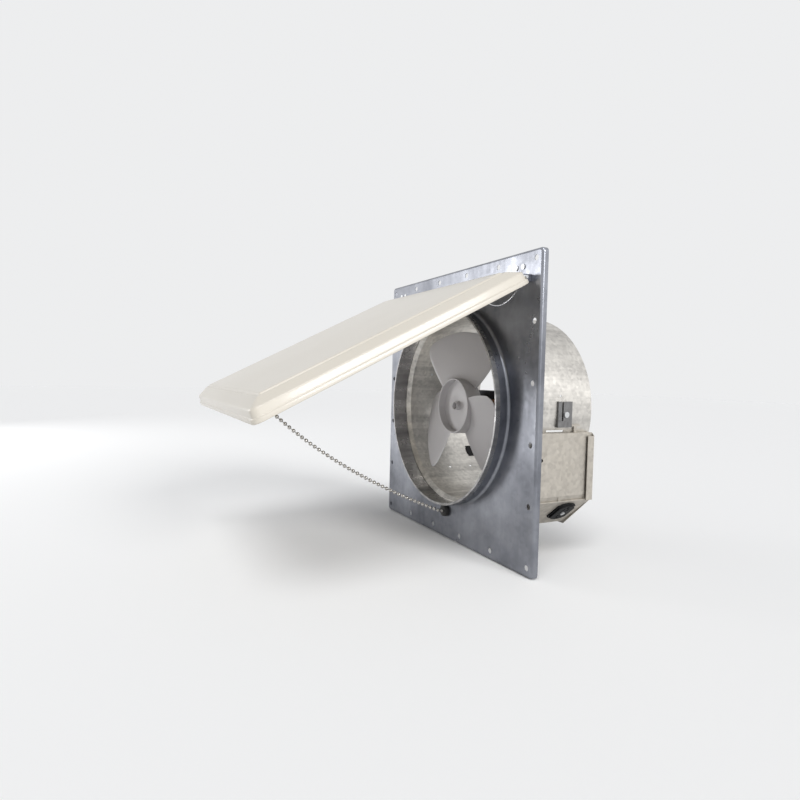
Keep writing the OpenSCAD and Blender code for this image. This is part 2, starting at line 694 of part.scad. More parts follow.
module motor_bar() color(black) difference() {
  end = drum_ri - 1.2;
  union() {
    block([-end, bar_y, -bar_hz], [end, bar_y + bar_t, bar_hz]);
    for (z = [-bar_hz, bar_hz - bar_t]) block([-end + 14, bar_y, z], [end - 14, bar_y + bar_flange, z + bar_t]);
    for (s = [-1, 1]) side_block(s, end - bar_t, end, [bar_y, bar_y + tab_l], [-bar_hz, bar_hz]);
  }
  rod_y(bar_y - 1, bar_y + bar_t + 1, bar_hole_r);
  for (x = [-mount_x, mount_x]) translate([x, 0, 0]) rod_y(bar_y - 1, bar_y + bar_t + 1, neck_r + hold_gap);
  for (s = [-1, 1]) translate([0, clip_screw[0], clip_screw[1]])
    side_rod(s, end - bar_t - 1, end + 1, clip_screw_r + hold_gap);
}

module strap_clips() color(steel) for (s = [-1, 1]) strap_clip(s);

module strap_clip(s) difference() {
  top = drum_r + clip_h;
  ys = [clip_y - clip_hy, clip_y + clip_hy];
  side_block(s, drum_r - 6, top, ys, clip_z);
  side_block(s, drum_r - 7, top - clip_t, ys + [clip_t, -clip_t], clip_z + [-1, 1]);
  side_block(s, drum_r, top + 1, [clip_y + clip_slot[0], clip_y + clip_slot[1]], [clip_z[0] + 8, clip_z[1] + 1]);
  rod_y(ys[0] - 1, ys[1] + 1, drum_r + hold_gap);
  translate([0, clip_screw[0], clip_screw[1]]) side_rod(s, drum_r, top + 1, clip_screw_r + pin_gap);
}

module strap_screws() color(steel) for (s = [-1, 1]) translate([0, clip_screw[0], clip_screw[1]]) {
  side_rod(s, drum_ri - 5, drum_r + clip_h + screw_tip, clip_screw_r);
  side_rod(s, drum_r + clip_h, drum_r + clip_h + screw_head, clip_screw_r * 1.9);
}

module motor_stack() color(black) difference() {
  block([stack_x[0], stack_y, -stack_hz], [stack_x[1], stack_end, stack_hz]);
  rod_y(stack_y - 1, stack_end + 1, bore_r);
  block([window_x[0], stack_y - 1, -window_hz], [window_x[1], stack_end + 1, window_hz]);
  for (x = [-mount_x, mount_x]) translate([x, 0, 0]) rod_y(stack_y - 1, stack_end + 1, mount_r + pin_gap);
}

coil_w = 8;

// Coil round the leg beside the window
module motor_coil() color(copper) difference() {
  leg = [window_x[1] - seat, stack_x[1] + seat];
  block([leg[0] - coil_w, stack_y - seat - coil_w, -window_hz + 0.5], [leg[1] + coil_w, stack_end + seat + coil_w, window_hz - 0.5]);
  block([leg[0], stack_y - seat, -stack_hz], [leg[1], stack_end + seat, stack_hz]);
}

// Bridge that carries a bearing, with its boss from y0 and its plate from y1, and feet to the stack
module bearing_bracket(y0, y1, foot) color(steel) difference() {
  union() {
    rod_y(y0, y0 + bush_l, boss_r);
    block([-mount_x, y1, -foot_r], [mount_x, y1 + bridge_t, foot_r]);
    for (x = [-mount_x, mount_x]) translate([x, 0, 0]) rod_y(foot[0], foot[1], foot_r);
  }
  rod_y(y0 - 1, y0 + bush_l + 1, bush_ro + hold_gap);
  for (x = [-mount_x, mount_x]) translate([x, 0, 0]) rod_y(foot[0] - 1, foot[1] + 1, mount_r + pin_gap);
}

module front_bearing_bracket() bearing_bracket(front_boss, front_boss + 2, [front_boss + 2, stack_y]);

module rear_bearing_bracket() bearing_bracket(rear_boss, rear_bridge, [stack_end, rear_bridge + bridge_t]);

module bearing_bushes() color(copper) for (y = [front_boss, rear_boss]) ring_y(y, y + bush_l, bush_ro, shaft_r + pin_gap);

module isolators() color(black) for (x = [-mount_x, mount_x]) translate([x, 0, 0]) difference() {
  union() {
    rod_y(bar_y - isolator_t, bar_y, isolator_r);
    rod_y(bar_y - 1, bar_y + bar_t + 1, neck_r);
    rod_y(bar_y + bar_t, bar_y + bar_t + isolator_t, isolator_r);
  }
  rod_y(bar_y - isolator_t - 1, bar_y + bar_t + isolator_t + 1, mount_r + pin_gap);
}

nut_y = bar_y + bar_t + isolator_t;
nut_h = 3.2;

module motor_screws() color(steel) for (x = [-mount_x, mount_x]) translate([x, 0, 0]) {
  rod_y(front_boss - 0.4, front_boss + 2, mount_r * 1.8);
  rod_y(front_boss, nut_y + nut_h + 1, mount_r);
}

module motor_nuts() color(steel) for (x = [-mount_x, mount_x]) translate([x, nut_y, 0]) rotate([-90, 0, 0]) difference() {
  cylinder(h = nut_h, r = mount_r * 2, $fn = 6);
  translate([0, 0, -1]) cylinder(h = nut_h + 2, r = mount_r + hold_gap);
}

module rotor() color(steel) ring_y(stack_y - 1, stack_end + 1, rotor_r, shaft_r + hold_gap);

module shaft() color(steel) rod_y(shaft_front, shaft_end, shaft_r);

wall = 2.5;
hub_round = 0.8;
root_front = hub_front + hub_round + blade_t / 2 + 0.6;

// Cup with a rim that carries the blades, a floor, a nose with a bore in front and a sleeve behind
module fan_hub() revolve_y() polygon([
  [recess_r, nose_y], [nose_r, nose_y], [nose_r, hub_floor], [hub_r - wall, hub_floor],
  [hub_r - wall, hub_front + hub_round], [hub_r - wall + hub_round, hub_front], [hub_r - hub_round, hub_front],
  [hub_r, hub_front + hub_round], [hub_r, hub_y], [hub_r - wall, hub_y], [hub_r - wall, hub_floor + wall],
  [hub_sleeve_r, hub_floor + wall], [hub_sleeve_r, sleeve_end_y], [shaft_r + hold_gap, sleeve_end_y],
  [shaft_r + hold_gap, nose_y + recess_l], [recess_r, nose_y + recess_l]]);

function span_k(r) = (r - root_r) / (tip_r - root_r);
function half_a(r) = root_half_a + (tip_half_a - root_half_a) * span_k(r);
function blade_end(t) = let (u = min(tip_round, (1 - abs(t)) * tip_half_a * tip_r * PI / 180))
  tip_r - tip_round + sqrt(tip_round * tip_round - (tip_round - u) * (tip_round - u));
function blade_depth(r, t) = let (k = span_k(r), rear = root_rear + (blade_rear - root_rear) * k,
  front = root_front + (blade_front - root_front) * k) rear + (front - rear) * (t + 1) / 2;
function blade_point(t, k, off) = let (r = root_r + (blade_end(t) - root_r) * k, a = blade_a + t * half_a(r))
  [r * cos(a), blade_depth(r, t) + off, r * sin(a)];

module blade() {
  nt = chord_n + 1;
  side = nt * (span_n + 1);
  pts = [for (off = [-blade_t / 2, blade_t / 2], j = [0:span_n], i = [0:chord_n]) blade_point(2 * i / chord_n - 1, j / span_n, off)];
  skins = [for (j = [0:span_n - 1], i = [0:chord_n - 1]) let (a = j * nt + i, b = a + 1, c = a + nt, d = c + 1)
    each [[a, b, d], [a, d, c], [side + a, side + d, side + b], [side + a, side + c, side + d]]];
  ends = [for (i = [0:chord_n - 1]) let (b = span_n * nt + i)
    each [[i, side + i + 1, i + 1], [i, side + i, side + i + 1], [b, b + 1, side + b + 1], [b, side + b + 1, side + b]]];
  edges = [for (j = [0:span_n - 1]) let (a = j * nt, c = a + nt, b = a + chord_n, d = b + nt)
    each [[a, c, side + c], [a, side + c, side + a], [b, side + d, d], [b, side + b, side + d]]];
  polyhedron(points = pts, faces = concat(skins, ends, edges), convexity = 4);
}

module fan_wheel() color(milky) {
  fan_hub();
  for (k = [0:blades - 1]) rotate([0, -360 / blades * k, 0]) blade();
}

// Spring ring that clamps the sleeve of the hub on the shaft
module hub_clip() color(steel) difference() {
  ring_y(sleeve_end_y - 2.8, sleeve_end_y - 0.6, hub_sleeve_r + 1.6, hub_sleeve_r + hold_gap);
  block([0, sleeve_end_y - 4, -1.2], [hub_r, sleeve_end_y, 1.2]);
}

// Profile under the shoulders and the panel of the door, for a half width and a drop of the sheet
function roof(half, drop) = let (
  line = [[0, skirt_h - skirt_in * shoulder_rise], [shoulder_in, shoulder_h], [groove_in, groove_h], [panel_in, pan_h]],
  right = [for (p = line) [half - p[0], pivot_off - p[1] + drop]])
  concat([[half, pivot_off + 2]], right, [for (i = [3:-1:0]) [-right[i][0], right[i][1]]], [[-half, pivot_off + 2]]);

module door_solid(rim, drop, base) intersection() {
  union() {
    rim_y(door_w, door_h, door_corner_r) polygon(rim);
    block([-door_w / 2 + door_corner_r - 0.5, pivot_off - pan_h - 1, -door_h / 2 + door_corner_r - 0.5],
      [door_w / 2 - door_corner_r + 0.5, base, door_h / 2 - door_corner_r + 0.5]);
  }
  linear_extrude(door_h + 2, center = true) polygon(roof(door_w / 2, drop));
  rotate([0, 90, 0]) linear_extrude(door_w + 2, center = true) polygon(roof(door_h / 2, drop));
}

module door_panel() color(enamel) on_door() difference() {
  rc = door_corner_r;
  top = skirt_h + over;
  outer = [[0, 0], [rc, 0], [rc, -door_lip_h], [rc - lip_t, -lip_step], [rc - skirt_in, -skirt_h],
    [rc - skirt_in - over * skirt_draft, -top], [0, -top]];
  inner = [[0, 1], [rc - lip_in, 1], [rc - lip_in, -door_lip_h], [rc - skirt_in - door_t, -skirt_h + door_t],
    [rc - skirt_in - door_t - over * skirt_draft, -top], [0, -top]];
  translate([0, 0, door_mid]) difference() {
    door_solid([for (p = outer) p + [0, pivot_off]], 0, pivot_off);
    door_solid([for (p = inner) p + [0, pivot_off]], door_t, pivot_off + 1);
  }
  for (s = [-1, 1]) {
    side_block(s, ear_x - bracket_t - pin_head - seat, ear_x + pin_step + seat,
      [-ear_r - 1.4, pivot_off + 1], [-ear_r - 1, pivot_top + 1]);
    side_rod(s, ear_x + 0.8, door_w / 2 + 1, pin_r + pin_gap);
  }
}

module door_gasket() color(black) on_door() translate([0, 0, -pivot_z])
  ring_y(panel_face, panel_face + gasket_t, gasket_ro, gasket_ro - gasket_w);

foot_x = 14;
bridge_x = 8;
bridge_z = 4;
tab_t = 1;

// Bridge under the panel whose hole holds the last bead of the chain
module chain_bracket() color(steel) on_door() translate([0, panel_face, -chain_hook_z]) difference() {
  union() {
    block([-foot_x, 0, -bridge_z], [foot_x, tab_t, bridge_z]);
    block([-bridge_x, 0, -bridge_z], [bridge_x, bridge_y - panel_face, bridge_z]);
  }
  block([-bridge_x + tab_t, -1, -bridge_z - 1], [bridge_x - tab_t, bridge_y - panel_face - tab_t, bridge_z + 1]);
  translate([0, 0, tab_t]) rod_y(2, 10, rivet_r);
}

tab_in = 5.5;
tab_out = 4;
tab_foot = 10;
tab_back = 12;

module spring_tabs() color(steel) on_door() for (s = [-1, 1]) difference() {
  x = [spring_x - tab_in, spring_x + tab_out];
  top = hook_y + seat;
  heel = -spring_hook_z - tab_back;
  union() {
    side_block(s, x[0], x[1], [panel_face, panel_face + tab_t], [heel - tab_foot, heel]);
    side_block(s, x[0], x[1], [panel_face, top], [heel - tab_t, heel]);
    side_block(s, x[0], x[1], [top - tab_t, top], [heel - tab_t, -spring_hook_z + tab_out]);
  }
  translate([s * spring_x, 0, -spring_hook_z]) rod_y(top - 2, top + 1, spring_hole_r);
}

module hinge_bracket(s) color(steel) difference() {
  union() {
    side_block(s, ear_x - bracket_in, ear_x, [plate_t, plate_t + bracket_t], [pivot_z - bracket_low, pivot_z + bracket_up]);
    side_block(s, ear_x - bracket_t, ear_x, [-pivot_y, plate_t + bracket_t], [pivot_z - ear_r, pivot_z + ear_r]);
    translate([0, -pivot_y, pivot_z]) side_rod(s, ear_x - bracket_t, ear_x, ear_r);
  }
  translate([0, -pivot_y, pivot_z]) side_rod(s, ear_x - bracket_t - 1, ear_x + 1, pin_r + hold_gap);
  for (x = hinge_rivet_x) translate([s * x, 0, hinge_rivet_z]) rod_y(0, plate_t + bracket_t + 1, rivet_r + hold_gap);
}

module hinge_bracket_left() hinge_bracket(-1);

module hinge_bracket_right() hinge_bracket(1);

// Pins fixed in the ears, each with a shoulder that keeps the door in the middle
module hinge_pins() color(steel) for (s = [-1, 1]) translate([0, -pivot_y, pivot_z]) {
  side_rod(s, ear_x - bracket_t - pin_head, ear_x - bracket_t, pin_r * 1.5);
  side_rod(s, ear_x - bracket_t - pin_head / 2, ear_x + pin_out, pin_r);
  side_rod(s, ear_x, ear_x + pin_step, pin_step_r);
}

module hinge_rivets() color(steel) for (s = [-1, 1], x = hinge_rivet_x) translate([s * x, 0, hinge_rivet_z]) {
  rod_y(-0.5, plate_t + bracket_t + 0.5, rivet_r);
  rod_y(-1.1, 0, rivet_r * 1.8);
  rod_y(plate_t + bracket_t, plate_t + bracket_t + 1, rivet_r * 1.8);
}

module door_spring(s) color(steel) translate([s * spring_x, 0, 0]) wire_x(spring_route, spring_wire_r);

module door_spring_left() door_spring(-1);

module door_spring_right() door_spring(1);

module outer_chain() color(steel) {
  bead_chain([for (i = [0:chain_n]) let (u = i / chain_n) chain_at(u + chain_ease * u * (1 - u))]);
  link(chain_start, [inner_start - bead_r / 2, chain_z]);
}

module inner_chain() color(steel) bead_chain([for (i = [0:inner_n]) [inner_start + bead_pitch * i, chain_z]]);

module chain_grommet() color(black) translate([0, 0, chain_z]) revolve_y() polygon([
  [chain_bore, -grommet_h], [grommet_r - 2, -grommet_h], [grommet_r - 0.6, -grommet_h + 0.8],
  [grommet_r, -grommet_h + 3], [grommet_r, 0], [grommet_neck, 0], [grommet_neck, plate_t],
  [grommet_r, plate_t], [grommet_r - 1, plate_t + 2.4], [chain_bore, plate_t + 2.4]]);

module chain_guide() color(steel) difference() {
  top = -drum_r - seat;
  union() {
    block([-guide_half_w, guide_y - 18, top - guide_t], [guide_half_w, guide_y + guide_t, top]);
    block([-guide_half_w, guide_y, chain_z], [guide_half_w, guide_y + guide_t, top]);
    translate([0, 0, chain_z]) rod_y(guide_y, guide_y + guide_t, guide_half_w);
  }
  translate([0, 0, chain_z]) rod_y(guide_y - 1, guide_y + guide_t + 1, chain_bore);
  translate([0, guide_rivet_y, top - guide_t - 1]) cylinder(h = guide_t + 2, r = rivet_r + hold_gap);
}

module guide_rivet() color(steel) rivet_out(guide_rivet_y, -90, drum_ri, drum_r + seat + guide_t);

module pull_bell() color(steel) translate([0, bell_y, chain_z]) revolve_y() polygon([
  [1, 0], [2.6, 0], [3.6, 1.2], [4, 9], [bell_r - 0.6, bell_l - 2.5], [bell_r, bell_l - 1], [bell_r, bell_l],
  [bell_r - bell_wall, bell_l], [bell_r - 2.2, bell_l - 4], [3.1, 9], [2.9, 2], [1, bell_wall]]);

wall_plate();
outer_sleeve();
inner_drum();
sleeve_screws();
wiring_box();
box_cover();
box_screws();
box_rivets();
receptacle();
receptacle_screw();
switch_body();
switch_pin();
switch_lever();
motor_bar();
strap_clips();
strap_screws();
motor_stack();
motor_coil();
front_bearing_bracket();
rear_bearing_bracket();
bearing_bushes();
isolators();
motor_screws();
motor_nuts();
rotor();
shaft();
fan_wheel();
hub_clip();
door_panel();
door_gasket();
chain_bracket();
spring_tabs();
hinge_bracket_left();
hinge_bracket_right();
hinge_pins();
hinge_rivets();
door_spring_left();
door_spring_right();
outer_chain();
inner_chain();
chain_grommet();
chain_guide();
guide_rivet();
pull_bell();
entry_plug();
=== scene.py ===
import bpy
import bmesh
import math
from mathutils import Matrix, Vector


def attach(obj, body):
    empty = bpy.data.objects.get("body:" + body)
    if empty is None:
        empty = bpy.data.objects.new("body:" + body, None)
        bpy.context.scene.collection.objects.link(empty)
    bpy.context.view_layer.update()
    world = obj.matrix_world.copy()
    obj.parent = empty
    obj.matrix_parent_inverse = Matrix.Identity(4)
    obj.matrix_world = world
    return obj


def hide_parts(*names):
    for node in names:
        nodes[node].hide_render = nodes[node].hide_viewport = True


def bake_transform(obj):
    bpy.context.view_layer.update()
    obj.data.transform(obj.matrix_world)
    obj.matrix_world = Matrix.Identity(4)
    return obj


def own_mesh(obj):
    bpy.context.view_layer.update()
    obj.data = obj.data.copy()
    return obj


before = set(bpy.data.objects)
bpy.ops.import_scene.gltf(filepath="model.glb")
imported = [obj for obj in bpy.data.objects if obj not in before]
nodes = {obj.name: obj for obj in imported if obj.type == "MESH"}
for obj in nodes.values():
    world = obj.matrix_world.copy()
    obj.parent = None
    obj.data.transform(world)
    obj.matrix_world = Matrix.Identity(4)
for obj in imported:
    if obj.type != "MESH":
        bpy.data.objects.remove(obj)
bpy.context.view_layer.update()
mm = 0.001
print("frame loaded with", len(nodes), "nodes")

# camera, at the place beside the fan that the photo was taken from
view = {
    "at": (647.6, -402.2, 37.4), "yaw": -63.10, "pitch": -2.37, "roll": 1.43,
    "focalPixels": 568.4, "framePixels": 800, "sensor": 36, "nearest": 0.01,
}


def addCamera():
    yaw, pitch, roll = (math.radians(view[k]) for k in ("yaw", "pitch", "roll"))
    ahead = Vector((math.sin(yaw) * math.cos(pitch), math.cos(yaw) * math.cos(pitch), math.sin(pitch)))
    right = ahead.cross(Vector((0, 0, 1))).normalized()
    up = right.cross(ahead)
    side = math.cos(roll) * right + math.sin(roll) * up
    top = -math.sin(roll) * right + math.cos(roll) * up
    place = Vector(view["at"]) * mm
    data = bpy.data.cameras.new("camera")
    data.sensor_width = view["sensor"]
    data.lens = view["sensor"] * view["focalPixels"] / view["framePixels"]
    data.clip_start = view["nearest"]
    camera = bpy.data.objects.new("camera", data)
    bpy.context.scene.collection.objects.link(camera)
    camera.matrix_world = Matrix((
        (side.x, top.x, -ahead.x, place.x),
        (side.y, top.y, -ahead.y, place.y),
        (side.z, top.z, -ahead.z, place.z),
        (0, 0, 0, 1)))
    bpy.context.scene.camera = camera


# studio: pale floor and surroundings, two broad soft lights and one low panel that the plate mirrors
studio = {
    "floorZ": -178.4, "floorSize": 14.0, "floorColor": (0.93, 0.93, 0.925, 1), "floorRough": 0.9, "floorShine": 0.1,
    "backColor": (0.848, 0.853, 0.860, 1), "fillColor": (0.95, 0.965, 1.0, 1), "fillStrength": 0.40,
    "broad": [
        {"name": "lightTop", "from": (0.45, -0.35, 1.0), "strength": 1.1, "spread": 30},
        {"name": "lightRight", "from": (1.0, 0.25, 0.45), "strength": 1.7, "spread": 25},
    ],
    "panels": [
        {"name": "panelLow", "at": (-1.5, -1.35, 0.2), "aim": (0.05, 0, -0.02), "size": (0.5, 0.9), "power": 8},
    ],
}


def buildSurroundings():
    # an even fill for the object, and a pale backdrop for the camera and for mirror images
    world = bpy.data.worlds.new("studio")
    bpy.context.scene.world = world
    world.use_nodes = True
    tree = world.node_tree
    tree.nodes.clear()
    out = tree.nodes.new("ShaderNodeOutputWorld")
    mix = tree.nodes.new("ShaderNodeMixShader")
    fill = tree.nodes.new("ShaderNodeBackground")
    back = tree.nodes.new("ShaderNodeBackground")
    path = tree.nodes.new("ShaderNodeLightPath")
    fill.inputs["Color"].default_value = studio["fillColor"]
    fill.inputs["Strength"].default_value = studio["fillStrength"]
    back.inputs["Color"].default_value = studio["backColor"]
    back.inputs["Strength"].default_value = 1
    seen = mathNode(tree, "ADD", path.outputs["Is Camera Ray"], path.outputs["Is Glossy Ray"])
    seen = mathNode(tree, "ADD", seen, path.outputs["Is Transmission Ray"], clamp=True)
    tree.links.new(seen, mix.inputs[0])
    tree.links.new(fill.outputs[0], mix.inputs[1])
    tree.links.new(back.outputs[0], mix.inputs[2])
    tree.links.new(mix.outputs[0], out.inputs[0])


def addLight(name, kind, power, direction):
    data = bpy.data.lights.new(name, kind)
    data.energy = power
    light = bpy.data.objects.new(name, data)
    bpy.context.scene.collection.objects.link(light)
    light.rotation_euler = direction.to_track_quat("-Z", "Y").to_euler()
    return light


def buildLights():
    for lamp in studio["broad"]:
        light = addLight(lamp["name"], "SUN", lamp["strength"], -Vector(lamp["from"]))
        light.data.angle = math.radians(lamp["spread"])
    for lamp in studio["panels"]:
        light = addLight(lamp["name"], "AREA", lamp["power"], Vector(lamp["aim"]) - Vector(lamp["at"]))
        light.location = lamp["at"]
        light.data.shape = "RECTANGLE"
        light.data.size, light.data.size_y = lamp["size"]


def buildFloor():
    half, z = studio["floorSize"] / 2, studio["floorZ"] * mm
    mesh = bpy.data.meshes.new("floor")
    mesh.from_pydata([(-half, -half, z), (half, -half, z), (half, half, z), (-half, half, z)], [], [(0, 1, 2, 3)])
    floor = bpy.data.objects.new("floor", mesh)
    bpy.context.scene.collection.objects.link(floor)
    material, shader = newMaterial("floorPaper")
    shader.inputs["Base Color"].default_value = studio["floorColor"]
    shader.inputs["Roughness"].default_value = studio["floorRough"]
    shader.inputs["Specular IOR Level"].default_value = studio["floorShine"]
    mesh.materials.append(material)


# shared effects for the finishes
def groupWith(name, ins, outs):
    tree = bpy.data.node_groups.new(name, "ShaderNodeTree")
    for label, kind, value in ins:
        socket = tree.interface.new_socket(name=label, in_out="INPUT", socket_type=kind)
        socket.default_value = value
    for label, kind in outs:
        tree.interface.new_socket(name=label, in_out="OUTPUT", socket_type=kind)
    return tree, tree.nodes.new("NodeGroupInput"), tree.nodes.new("NodeGroupOutput")


def mathNode(tree, operation, a, b=None, clamp=False):
    node = tree.nodes.new("ShaderNodeMath")
    node.operation = operation
    node.use_clamp = clamp
    for i, value in enumerate((a, b)):
        if value is None:
            continue
        if isinstance(value, (int, float)):
            node.inputs[i].default_value = value
        else:
            tree.links.new(value, node.inputs[i])
    return node.outputs[0]


def mixColor(tree, factor, a, b):
    node = tree.nodes.new("ShaderNodeMix")
    node.data_type = "RGBA"
    for socket, value in ((node.inputs[0], factor), (node.inputs[6], a), (node.inputs[7], b)):
        if isinstance(value, (int, float, tuple)):
            socket.default_value = value
        else:
            tree.links.new(value, socket)
    return node.outputs[2]


def stretchedPlace(tree, scale=(1, 1, 1)):
    # position on the object, stretched for streaks that run one way
    place = tree.nodes.new("ShaderNodeTexCoord")
    mapping = tree.nodes.new("ShaderNodeMapping")
    tree.links.new(place.outputs["Object"], mapping.inputs["Vector"])
    if isinstance(scale, tuple):
        mapping.inputs["Scale"].default_value = scale
    else:
        tree.links.new(scale, mapping.inputs["Scale"])
    return mapping.outputs["Vector"]


def noiseNode(tree, place, scale, detail=3.0, rough=0.5):
    node = tree.nodes.new("ShaderNodeTexNoise")
    tree.links.new(place, node.inputs["Vector"])
    if isinstance(scale, (int, float)):
        node.inputs["Scale"].default_value = scale
    else:
        tree.links.new(scale, node.inputs["Scale"])
    node.inputs["Detail"].default_value = detail
    node.inputs["Roughness"].default_value = rough
    return node.outputs["Fac"]


def contrast(tree, value, gain):
    # stretches a noise about its middle
    wider = mathNode(tree, "MULTIPLY", mathNode(tree, "SUBTRACT", value, 0.5), gain)
    return mathNode(tree, "ADD", wider, 0.5, clamp=True)


# grain that all sheet metal has in common: crystals with wavy borders, streaks and clouds; where the streaks and
# clouds are strong, on the plate and sleeve, they are painted sheen and painted dark reflection rather than grain
sheetGrain = {
    "warpScale": 90.0, "warpReach": 0.006, "crystalSoft": 0.6, "crystalRough": 0.5, "crystalHeight": 0.15,
    "streakGain": 2.4, "cloudScale": 11.0, "cloudGain": 2.6,
}


def buildSpangle():
    g = sheetGrain
    tree, ins, outs = groupWith("zincSpangle", [
        ("Color", "NodeSocketColor", (0.6, 0.6, 0.6, 1)), ("Shade", "NodeSocketColor", (0.4, 0.4, 0.4, 1)),
        ("Crystal Scale", "NodeSocketFloat", 160.0), ("Crystal", "NodeSocketFloat", 0.5),
        ("Streak Scale", "NodeSocketVector", (40.0, 40.0, 6.0)), ("Streak And Sheen", "NodeSocketFloat", 0.3),
        ("Cloud And Sheen", "NodeSocketFloat", 0.3), ("Roughness", "NodeSocketFloat", 0.35),
        ("Spread", "NodeSocketFloat", 0.12)],
        [("Color", "NodeSocketColor"), ("Roughness", "NodeSocketFloat"), ("Height", "NodeSocketFloat")])
    place = stretchedPlace(tree)
    warp = tree.nodes.new("ShaderNodeCombineXYZ")
    wave = noiseNode(tree, place, g["warpScale"], 2.0)
    for i in range(3):
        tree.links.new(wave, warp.inputs[i])
    push = tree.nodes.new("ShaderNodeVectorMath")
    push.operation = "MULTIPLY_ADD"
    tree.links.new(warp.outputs[0], push.inputs[0])
    push.inputs[1].default_value = (g["warpReach"],) * 3
    tree.links.new(place, push.inputs[2])
    cells = tree.nodes.new("ShaderNodeTexVoronoi")
    cells.feature = "SMOOTH_F1"
    cells.inputs["Smoothness"].default_value = g["crystalSoft"]
    tree.links.new(ins.outputs["Crystal Scale"], cells.inputs["Scale"])
    tree.links.new(push.outputs[0], cells.inputs["Vector"])
    tone = tree.nodes.new("ShaderNodeSeparateColor")
    tree.links.new(cells.outputs["Color"], tone.inputs[0])
    run = stretchedPlace(tree, ins.outputs["Streak Scale"])
    # streaks and clouds darken towards Shade: random grain on most metals, painted sheen and painted dark reflection
    # on the plate and sleeve
    streaksAndSheen = contrast(tree, noiseNode(tree, run, 1.0, 4.0, 0.55), g["streakGain"])
    cloudsAndSheen = contrast(tree, noiseNode(tree, place, g["cloudScale"], 3.0, 0.6), g["cloudGain"])
    crystal = mathNode(tree, "MULTIPLY", tone.outputs[0], ins.outputs["Crystal"])
    streakAndSheen = mathNode(tree, "MULTIPLY", streaksAndSheen, ins.outputs["Streak And Sheen"])
    cloudAndSheen = mathNode(tree, "MULTIPLY", cloudsAndSheen, ins.outputs["Cloud And Sheen"])
    factor = mathNode(tree, "ADD", mathNode(tree, "ADD", crystal, streakAndSheen), cloudAndSheen, clamp=True)
    color = mixColor(tree, factor, ins.outputs["Color"], ins.outputs["Shade"])
    uneven = mathNode(tree, "ADD", mathNode(tree, "MULTIPLY", tone.outputs[1], g["crystalRough"]), streaksAndSheen)
    spread = mathNode(tree, "MULTIPLY", uneven, ins.outputs["Spread"])
    rough = mathNode(tree, "ADD", ins.outputs["Roughness"], spread, clamp=True)
    height = mathNode(tree, "ADD", mathNode(tree, "MULTIPLY", tone.outputs[2], g["crystalHeight"]), cloudsAndSheen)
    tree.links.new(color, outs.inputs["Color"])
    tree.links.new(rough, outs.inputs["Roughness"])
    tree.links.new(height, outs.inputs["Height"])
    return tree


def buildMottle():
    # slight unevenness of paint, rubber and moulded plastic
    tree, ins, outs = groupWith("mottle", [
        ("Color", "NodeSocketColor", (0.5, 0.5, 0.5, 1)), ("Tint", "NodeSocketColor", (0.4, 0.4, 0.4, 1)),
        ("Scale", "NodeSocketFloat", 20.0), ("Amount", "NodeSocketFloat", 0.4), ("Grain", "NodeSocketFloat", 900.0),
        ("Roughness", "NodeSocketFloat", 0.4), ("Spread", "NodeSocketFloat", 0.1)],
        [("Color", "NodeSocketColor"), ("Roughness", "NodeSocketFloat"), ("Height", "NodeSocketFloat")])
    place = stretchedPlace(tree)
    broad = noiseNode(tree, place, ins.outputs["Scale"], 4.0, 0.55)
    fine = noiseNode(tree, place, ins.outputs["Grain"], 2.0)
    factor = mathNode(tree, "MULTIPLY", broad, ins.outputs["Amount"], clamp=True)
    color = mixColor(tree, factor, ins.outputs["Color"], ins.outputs["Tint"])
    spread = mathNode(tree, "MULTIPLY", broad, ins.outputs["Spread"])
    rough = mathNode(tree, "ADD", ins.outputs["Roughness"], spread, clamp=True)
    height = mathNode(tree, "ADD", broad, mathNode(tree, "MULTIPLY", fine, 0.3))
    tree.links.new(color, outs.inputs["Color"])
    tree.links.new(rough, outs.inputs["Roughness"])
    tree.links.new(height, outs.inputs["Height"])
    return tree


def newMaterial(name):
    material = bpy.data.materials.new(name)
    material.use_nodes = True
    tree = material.node_tree
    tree.nodes.clear()
    out = tree.nodes.new("ShaderNodeOutputMaterial")
    shader = tree.nodes.new("ShaderNodeBsdfPrincipled")
    tree.links.new(shader.outputs[0], out.inputs[0])
    return material, shader


def finishFrom(name, group, values, plain, bump):
    material, shader = newMaterial(name)
    tree = material.node_tree
    effect = tree.nodes.new("ShaderNodeGroup")
    effect.node_tree = group
    for label, value in values.items():
        effect.inputs[label].default_value = value
    tree.links.new(effect.outputs["Color"], shader.inputs["Base Color"])
    tree.links.new(effect.outputs["Roughness"], shader.inputs["Roughness"])
    height = tree.nodes.new("ShaderNodeBump")
    height.inputs["Strength"].default_value = bump[0]
    height.inputs["Distance"].default_value = bump[1]
    tree.links.new(effect.outputs["Height"], height.inputs["Height"])
    tree.links.new(height.outputs[0], shader.inputs["Normal"])
    for label, value in plain.items():
        shader.inputs[label].default_value = value
    return material


